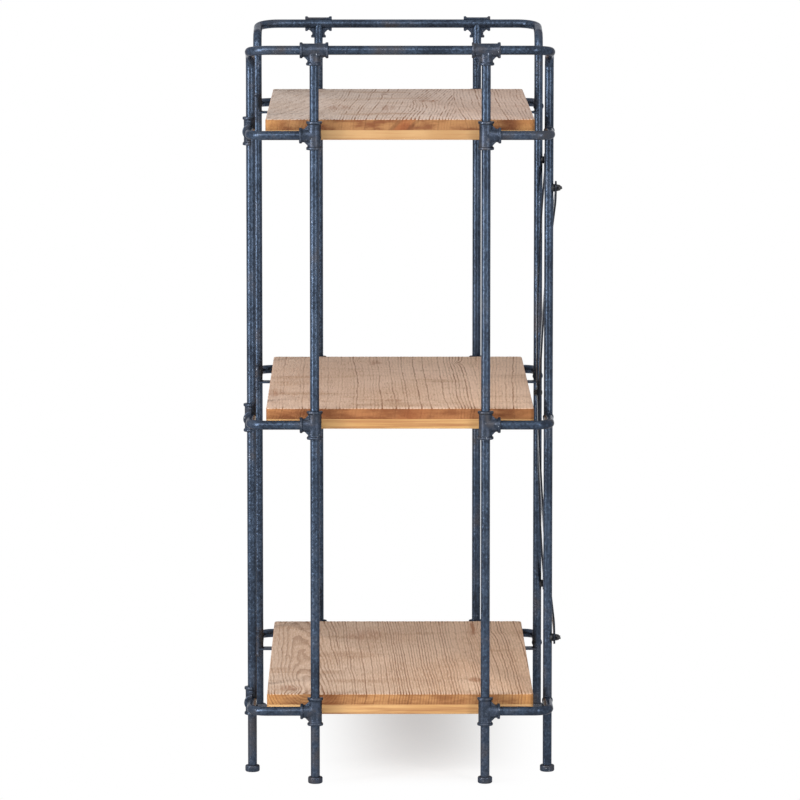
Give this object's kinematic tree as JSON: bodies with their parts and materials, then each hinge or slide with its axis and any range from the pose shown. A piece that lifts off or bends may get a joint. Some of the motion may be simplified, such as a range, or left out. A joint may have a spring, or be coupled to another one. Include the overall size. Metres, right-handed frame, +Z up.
{
  "type": "shelf unit",
  "caption": "Open etagere of bent tube with wooden shelves on cleats, half-shell tees over the tube joints, and a crossed flat-bar brace held by wing nuts.",
  "frame": {"origin": "on the floor, midway between the posts", "axes": "+Z up, +Y along the unit away from the pictured end, +X towards the long side with the brace"},
  "size_m": [0.4478, 0.7042, 1.0391],
  "materials": {
    "painted_tube": "satin, rubbed",
    "tee_iron": "painted, worn at the beads",
    "foot_iron": "painted",
    "board_wood": "brushed grain, matte",
    "cleat_wood": "matte",
    "strip_steel": "satin",
    "nut_steel": "dark oxide",
    "screw_steel": "zinc, dulled"
  },
  "bodies": {
    "frame": {"board_high": "board_wood", "board_low": "board_wood", "board_mid": "board_wood", "brace_strip_inner": "strip_steel", "brace_strip_outer": "strip_steel", "brace_studs": "nut_steel", "cleats_high": "cleat_wood", "cleats_low": "cleat_wood", "cleats_mid": "cleat_wood", "corner_rail_high_front_left": "painted_tube", "corner_rail_high_front_right": "painted_tube", "corner_rail_high_rear_left": "painted_tube", "corner_rail_high_rear_right": "painted_tube", "corner_rail_low_front_left": "painted_tube", "corner_rail_low_front_right": "painted_tube", "corner_rail_low_rear_left": "painted_tube", "corner_rail_low_rear_right": "painted_tube", "corner_rail_mid_front_left": "painted_tube", "corner_rail_mid_front_right": "painted_tube", "corner_rail_mid_rear_left": "painted_tube", "corner_rail_mid_rear_right": "painted_tube", "cross_bolt": "nut_steel", "cross_nut": "nut_steel", "end_tees_high_front": "tee_iron", "end_tees_high_rear": "tee_iron", "end_tees_low_front": "tee_iron", "end_tees_low_rear": "tee_iron", "end_tees_mid_front": "tee_iron", "end_tees_mid_rear": "tee_iron", "foot_caps": "foot_iron", "front_post_left": "painted_tube", "front_post_right": "painted_tube", "front_side_post_left": "painted_tube", "front_side_post_right": "painted_tube", "rear_post_left": "painted_tube", "rear_post_right": "painted_tube", "rear_side_post_left": "painted_tube", "rear_side_post_right": "painted_tube", "shelf_screws_high": "screw_steel", "shelf_screws_low": "screw_steel", "shelf_screws_mid": "screw_steel", "shelf_tabs_high": "painted_tube", "shelf_tabs_low": "painted_tube", "shelf_tabs_mid": "painted_tube", "side_tee_high_front": "tee_iron", "side_tee_high_rear": "tee_iron", "side_tee_low_front": "tee_iron", "side_tee_low_rear": "tee_iron", "side_tee_mid_front": "tee_iron", "side_tee_mid_rear": "tee_iron", "top_rail_front": "painted_tube", "top_rail_rear": "painted_tube", "top_tees_front": "tee_iron", "top_tees_rear": "tee_iron"},
    "wing_nut_front_high": {"wing_nut_front_high": "nut_steel"},
    "wing_nut_front_low": {"wing_nut_front_low": "nut_steel"},
    "wing_nut_rear_high": {"wing_nut_rear_high": "nut_steel"},
    "wing_nut_rear_low": {"wing_nut_rear_low": "nut_steel"}
  },
  "joints": [
    {"name": "wing_nut_front_high_turn", "type": "hinge", "parent": "frame", "child": "wing_nut_front_high", "pos_m": [0.22005, -0.251, 0.83], "axis": [1, 0, 0], "continuous": true},
    {"name": "wing_nut_front_low_turn", "type": "hinge", "parent": "frame", "child": "wing_nut_front_low", "pos_m": [0.22005, -0.251, 0.192], "axis": [1, 0, 0], "continuous": true},
    {"name": "wing_nut_rear_high_turn", "type": "hinge", "parent": "frame", "child": "wing_nut_rear_high", "pos_m": [0.22005, 0.251, 0.83], "axis": [1, 0, 0], "continuous": true},
    {"name": "wing_nut_rear_low_turn", "type": "hinge", "parent": "frame", "child": "wing_nut_rear_low", "pos_m": [0.22005, 0.251, 0.192], "axis": [1, 0, 0], "continuous": true}
  ]
}
